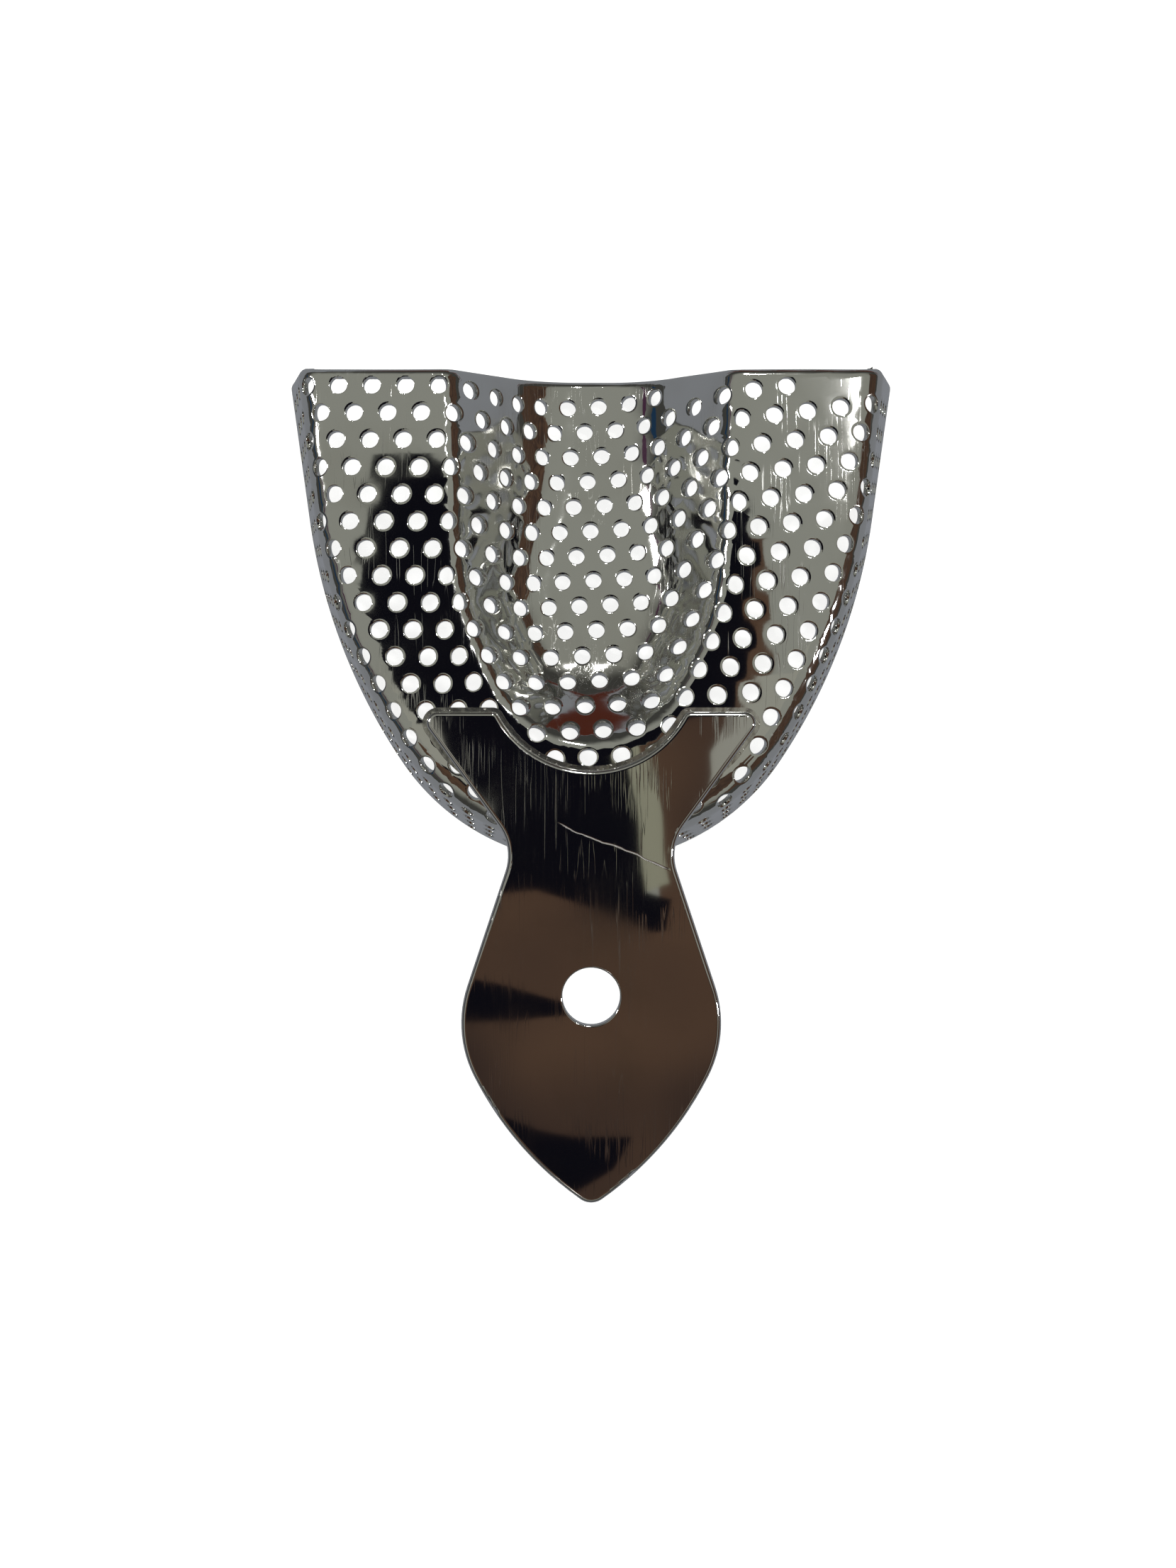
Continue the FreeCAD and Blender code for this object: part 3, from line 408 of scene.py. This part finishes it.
class Wire:
    def __init__(self, tree, socket=None):
        self.tree, self.socket = tree, socket

    def node(self, kind, settings=None, inputs=None, output=0):
        made = self.tree.nodes.new(kind)
        for name, value in (settings or {}).items():
            setattr(made, name, value)
        for name, value in (inputs or {}).items():
            if isinstance(value, Wire):
                self.tree.links.new(value.socket, made.inputs[name])
            else:
                made.inputs[name].default_value = value
        return Wire(self.tree, made.outputs[output])

    def sum(self, operation, first, second=0.0):
        return self.node("ShaderNodeMath", {"operation": operation}, {0: first, 1: second})

    def __add__(self, other):
        return self.sum("ADD", self, other)

    def __sub__(self, other):
        return self.sum("SUBTRACT", self, other)

    def __rsub__(self, other):
        return self.sum("SUBTRACT", other, self)

    def __mul__(self, other):
        return self.sum("MULTIPLY", self, other)

    def __abs__(self):
        return self.sum("ABSOLUTE", self)

    __radd__, __rmul__ = __add__, __mul__

    def fade(self, start, end):
        """0 before start, 1 after end, smooth between; start may be the larger."""
        return self.node("ShaderNodeMapRange", {"interpolation_type": "SMOOTHSTEP"},
                         {"Value": self, "From Min": start, "From Max": end})

    def mix(self, first, second):
        """From the first colour to the second as this value goes from 0 to 1."""
        return self.node("ShaderNodeMix", {"data_type": "RGBA"}, {0: self, 6: first, 7: second}, 2)

    def join(self, socket):
        self.tree.links.new(self.socket, socket)


# %% [markdown]
# ## Polished steel
# Mirror-polished steel isn't a perfect mirror. Buffing leaves a slow waviness, use leaves
# hair scratches in every direction, and fingers leave dull patches. All three are noise on
# Object coordinates: slow noise for waves and smudges, and for scratches the thin line where
# a long stretched noise crosses its middle value.

# %% Patterns on the metal


def start_material(name):
    material = bpy.data.materials.new(name)
    material.use_nodes = True
    tree = material.node_tree
    shader = tree.nodes["Principled BSDF"]
    shader.inputs["Metallic"].default_value = 1.0
    place = Wire(tree).node("ShaderNodeTexCoord", output=3)
    return material, place, shader


def cloud(place, size_mm, detail=1.0):
    """Soft noise from 0 to 1 with features of about this size."""
    return place.node("ShaderNodeTexNoise", {"noise_dimensions": "3D"},
                      {"Vector": place, "Scale": 1 / (size_mm * MM), "Detail": detail})


def hair_lines(place, turn, width_mm, stretch, thin):
    """Long thin lines that run at an angle to the Y axis, 1 on a line and 0 beside it."""
    turned = place.node("ShaderNodeMapping", {"vector_type": "POINT"},
                        {"Vector": place, "Rotation": (0, 0, math.radians(turn)),
                         "Scale": (1, 1 / stretch, 1)})
    return abs(cloud(turned, width_mm, 2.0) - 0.5).fade(thin, 0)


def finish_metal(place, shader, colour, roughness, height_mm):
    colour.join(shader.inputs["Base Color"])
    roughness.join(shader.inputs["Roughness"])
    bump = place.node("ShaderNodeBump", None, {"Height": height_mm, "Distance": MM, "Strength": 1.0})
    bump.join(shader.inputs["Normal"])


print("patterns ready")

# %% Steel of the pressed sheet
sheet_steel, place, shader = start_material("sheet_steel")
ripples = cloud(place, 10) * 0.04 + cloud(place, 2.6, 2.0) * 0.004
smudges = cloud(place, 14, 3.0).fade(0.45, 0.75)
scratches = (hair_lines(place, 24, 1.1, 22, 0.012) * cloud(place, 7).fade(0.5, 0.62)
             + hair_lines(place, -52, 0.9, 26, 0.010) * cloud(place, 10).fade(0.52, 0.66))
tint = smudges.mix((0.78, 0.78, 0.75, 1), (0.70, 0.69, 0.65, 1))
finish_metal(place, shader, tint, 0.045 + smudges * 0.06 + scratches * 0.18, ripples - scratches * 0.002)
pressed_sheet.data.materials.append(sheet_steel)
print("sheet steel", len(sheet_steel.node_tree.nodes), "nodes")

# %% [markdown]
# ## The handle's steel
# The handle is a flat plate, so it mirrors the room almost cleanly and its scratches show
# most. It was ground lengthwise near its wings and tip, and one long scratch runs across
# its neck. That scratch is the distance from a straight line, made to wander by noise.

# %% Steel of the handle
plate_steel, place, shader = start_material("plate_steel")
axes = place.node("ShaderNodeSeparateXYZ", None, {0: place})
along_x = Wire(axes.tree, axes.socket.node.outputs[0]) * (1 / MM)
along_y = Wire(axes.tree, axes.socket.node.outputs[1]) * (1 / MM)
ripples = cloud(place, 26) * 0.22 + cloud(place, 8) * 0.008
smudges = cloud(place, 11, 4.0).fade(0.46, 0.72)
grinding = hair_lines(place, 8, 0.5, 30, 0.05) * cloud(place, 9).fade(0.42, 0.6)
wing_and_tip = along_y.fade(-8, 0) + along_y.fade(-38, -46)
hairs = (hair_lines(place, 62, 1.2, 30, 0.010) * cloud(place, 8).fade(0.48, 0.6)
         + hair_lines(place, -35, 1.4, 26, 0.010) * cloud(place, 12).fade(0.5, 0.62))
neck_line = abs(along_y + along_x * 0.40 + 8.0 + cloud(place, 5, 3.0) * 1.6 - 0.8)
neck_scratch = neck_line.fade(0.14, 0.02) * along_x.fade(-4.5, -3.0) * along_x.fade(9.5, 8.5)
marks = grinding * (0.25 + wing_and_tip * 0.75) + hairs
tint = smudges.mix((0.74, 0.73, 0.71, 1), (0.66, 0.65, 0.62, 1))
tint = neck_scratch.mix(tint, (0.9, 0.9, 0.88, 1))
finish_metal(place, shader, tint, 0.04 + smudges * 0.05 + marks * 0.12 + neck_scratch * 0.4,
             ripples - marks * 0.0015 - neck_scratch * 0.01)
print("plate steel", len(plate_steel.node_tree.nodes), "nodes")

# %% [markdown]
# ## Silver solder
# The solder that joins handle and tray is softer and a little yellower than the steel, and
# is left as it flowed, with fine pits.

# %% Solder
solder, place, shader = start_material("solder")
pits = cloud(place, 0.5, 3.0).fade(0.62, 0.75)
lumps = cloud(place, 1.8, 2.0)
tint = pits.mix((0.72, 0.71, 0.66, 1), (0.42, 0.40, 0.35, 1))
finish_metal(place, shader, tint, 0.16 + pits * 0.25 + lumps * 0.08, lumps * 0.08 - pits * 0.02)


def coat(node, material):
    """Gives a carried-over CAD piece its finish."""
    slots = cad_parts[node].data.materials
    slots.clear()
    slots.append(material)
    print(node, "is", material.name)


coat("handle_plate", plate_steel)
for joint in ("solder_seam", "solder_wedge", "solder_plugs"):
    coat(joint, solder)

# %% [markdown]
# ## Floor and light
# The floor is pale and glows a little, as a light table does, so it shows white through the
# perforations. Bright metal looks like what is round it: a soft grey room, with a dark
# screen above, warm brown cloth in front and coloured edges far to the sides, which only the
# slopes of the palate see. These are plain cards that only reflections can see.

# %% Floor and cards


def glow(name, colour, strength=1.0, base=(0, 0, 0)):
    material = bpy.data.materials.new(name)
    material.use_nodes = True
    shader = material.node_tree.nodes["Principled BSDF"]
    shader.inputs["Base Color"].default_value = (*base, 1)
    shader.inputs["Roughness"].default_value = 0.9
    shader.inputs["Specular IOR Level"].default_value = 0.0
    shader.inputs["Emission Color"].default_value = (*colour, 1)
    shader.inputs["Emission Strength"].default_value = strength
    material.cycles.emission_sampling = "NONE"
    return material


def flat_card(name, corners_mm, height_mm, material):
    card = bmesh.new()
    card.faces.new([card.verts.new((x * MM, y * MM, height_mm * MM)) for x, y in corners_mm])
    mesh = bpy.data.meshes.new(name)
    card.to_mesh(mesh)
    card.free()
    mesh.materials.append(material)
    made = bpy.data.objects.new(name, mesh)
    bpy.context.scene.collection.objects.link(made)
    return made


def mirror_card(*args):
    """A card that is seen in reflections and nowhere else."""
    made = flat_card(*args)
    made.visible_camera = made.visible_shadow = made.visible_diffuse = False
    return made


def square(half):
    return [(-half, -half), (half, -half), (half, half), (-half, half)]


floor = flat_card("floor", square(3000), -0.05,
                  glow("pale_floor", (1, 1, 0.99), 0.8, (0.7, 0.7, 0.69)))
floor.visible_glossy = False
mirror_card("table", square(1000), -0.1, glow("table", (0.22, 0.23, 0.25)))
black = glow("black_card", (0.004, 0.004, 0.007))
brown = glow("brown_cloth", (0.075, 0.044, 0.030))
# Lighter and darker patches in the cloth's glow are painted light and shade, for light falling unevenly
# on the cloth.
uneven_cloth_light = cloud(Wire(brown.node_tree).node("ShaderNodeTexCoord", output=3), 48).fade(0.3, 0.68)
uneven_cloth_light.mix((0.042, 0.027, 0.022, 1), (0.092, 0.054, 0.035, 1)).join(
    brown.node_tree.nodes["Principled BSDF"].inputs["Emission Color"])
mirror_card("screen", [(-52, 78), (39, 68), (40, 53), (37, 30), (33, 16), (7, 10), (9, -5), (13.6, -26.4),
                       (19.6, -28.2), (18.6, -36.4), (14.5, -36.9), (1.8, -31.8), (-12.8, -26.7),
                       (-21.4, -27.3), (-60, -24), (-50, 17), (-56, 51)], 168, black)
mirror_card("screen_frame", [(7, 10), (9, -5), (13.6, -26.4), (19, -24.6), (15.5, -4.5), (13.6, 11)], 168,
            glow("screen_frame", (0.27, 0.27, 0.20)))
mirror_card("cloth_right", [(13, 11), (15, -4.5), (18, -40), (70, -40), (70, 20), (43, 24),
                            (43, 60), (34, 60), (30, 16)], 170, brown)
mirror_card("cloth_front", [(-110, -22), (-110, -200), (110, -200), (110, -34), (14, -34),
                            (-12, -24)], 172, brown)
mirror_card("cloth_fold", [(-60, -44), (-31, -48), (-7, -54), (-7, -57.5), (-31, -59),
                           (-60, -61)], 171, black)
mirror_card("cloth_hem", [(-45, -78), (-13, -86), (9, -87), (5, -95), (-5, -101),
                          (-45, -96)], 171, black)
daylight = glow("daylight", (0.31, 0.31, 0.27))
mirror_card("window_left", [(-37.4, 14), (-35, 5), (-30, -2), (-24, -9), (-22, -15), (-70, -15),
                            (-70, 14)], 167, daylight)
mirror_card("window_right", [(35, 15), (30, 7), (30, 2), (29, -3), (25, -8), (80, -8), (80, 26),
                             (39, 26)], 167, daylight)
mirror_card("brown_wall", [(650, -900), (4000, -2500), (4000, 2500), (650, 900)], 600, brown)
mirror_card("plum_edge", [(-900, -900), (-1050, -900), (-1050, 900), (-900, 900)], 600,
            glow("plum_edge", (0.055, 0.02, 0.045)))
mirror_card("blue_edge", [(-1700, -1200), (-2400, -1200), (-2400, 1200), (-1700, 1200)], 600,
            glow("blue_edge", (0.012, 0.035, 0.075)))
mirror_card("red_mat", [(-40, 110), (160, 110), (330, 700), (-110, 700)], 0.3,
            glow("red_mat", (0.075, 0.02, 0.012)))
print("floor and cards placed")

# %% Lamps and room


def lamp(name, place, size, power, colour=(1, 1, 1)):
    data = bpy.data.lights.new(name, "AREA")
    data.shape, data.size, data.energy, data.color = "DISK", size, power, colour
    made = bpy.data.objects.new(name, data)
    made.location = place
    made.rotation_euler = (-Vector(place)).to_track_quat("-Z", "Y").to_euler()
    bpy.context.scene.collection.objects.link(made)


lamp("left_window", (-0.75, 0.25, 0.55), 0.11, 2.5, (1.0, 0.99, 0.97))
lamp("right_window", (0.8, -0.1, 0.5), 0.09, 2.0, (0.97, 0.98, 1.0))
lamp("rear_lamp", (0.1, 0.8, 0.7), 0.10, 1.5)
lamp("near_lamp", (-0.2, -0.55, 0.6), 0.06, 0.6)
lamp("high_lamp", (0.22, 0.28, 0.75), 0.03, 0.5)

room = bpy.data.worlds.new("room")
bpy.context.scene.world = room
room.use_nodes = True
background = room.node_tree.nodes["Background"]
sky = Wire(room.node_tree)
eye = sky.node("ShaderNodeLightPath")
heading = sky.node("ShaderNodeTexCoord")
height = sky.node("ShaderNodeSeparateXYZ", None, {0: heading}, 2)
seen = height.fade(0.25, 0.75).mix((0.05, 0.05, 0.046, 1), (0.27, 0.275, 0.245, 1))
eye.mix(seen, (0.9, 0.9, 0.9, 1)).join(background.inputs["Color"])
print("lamps and room placed")
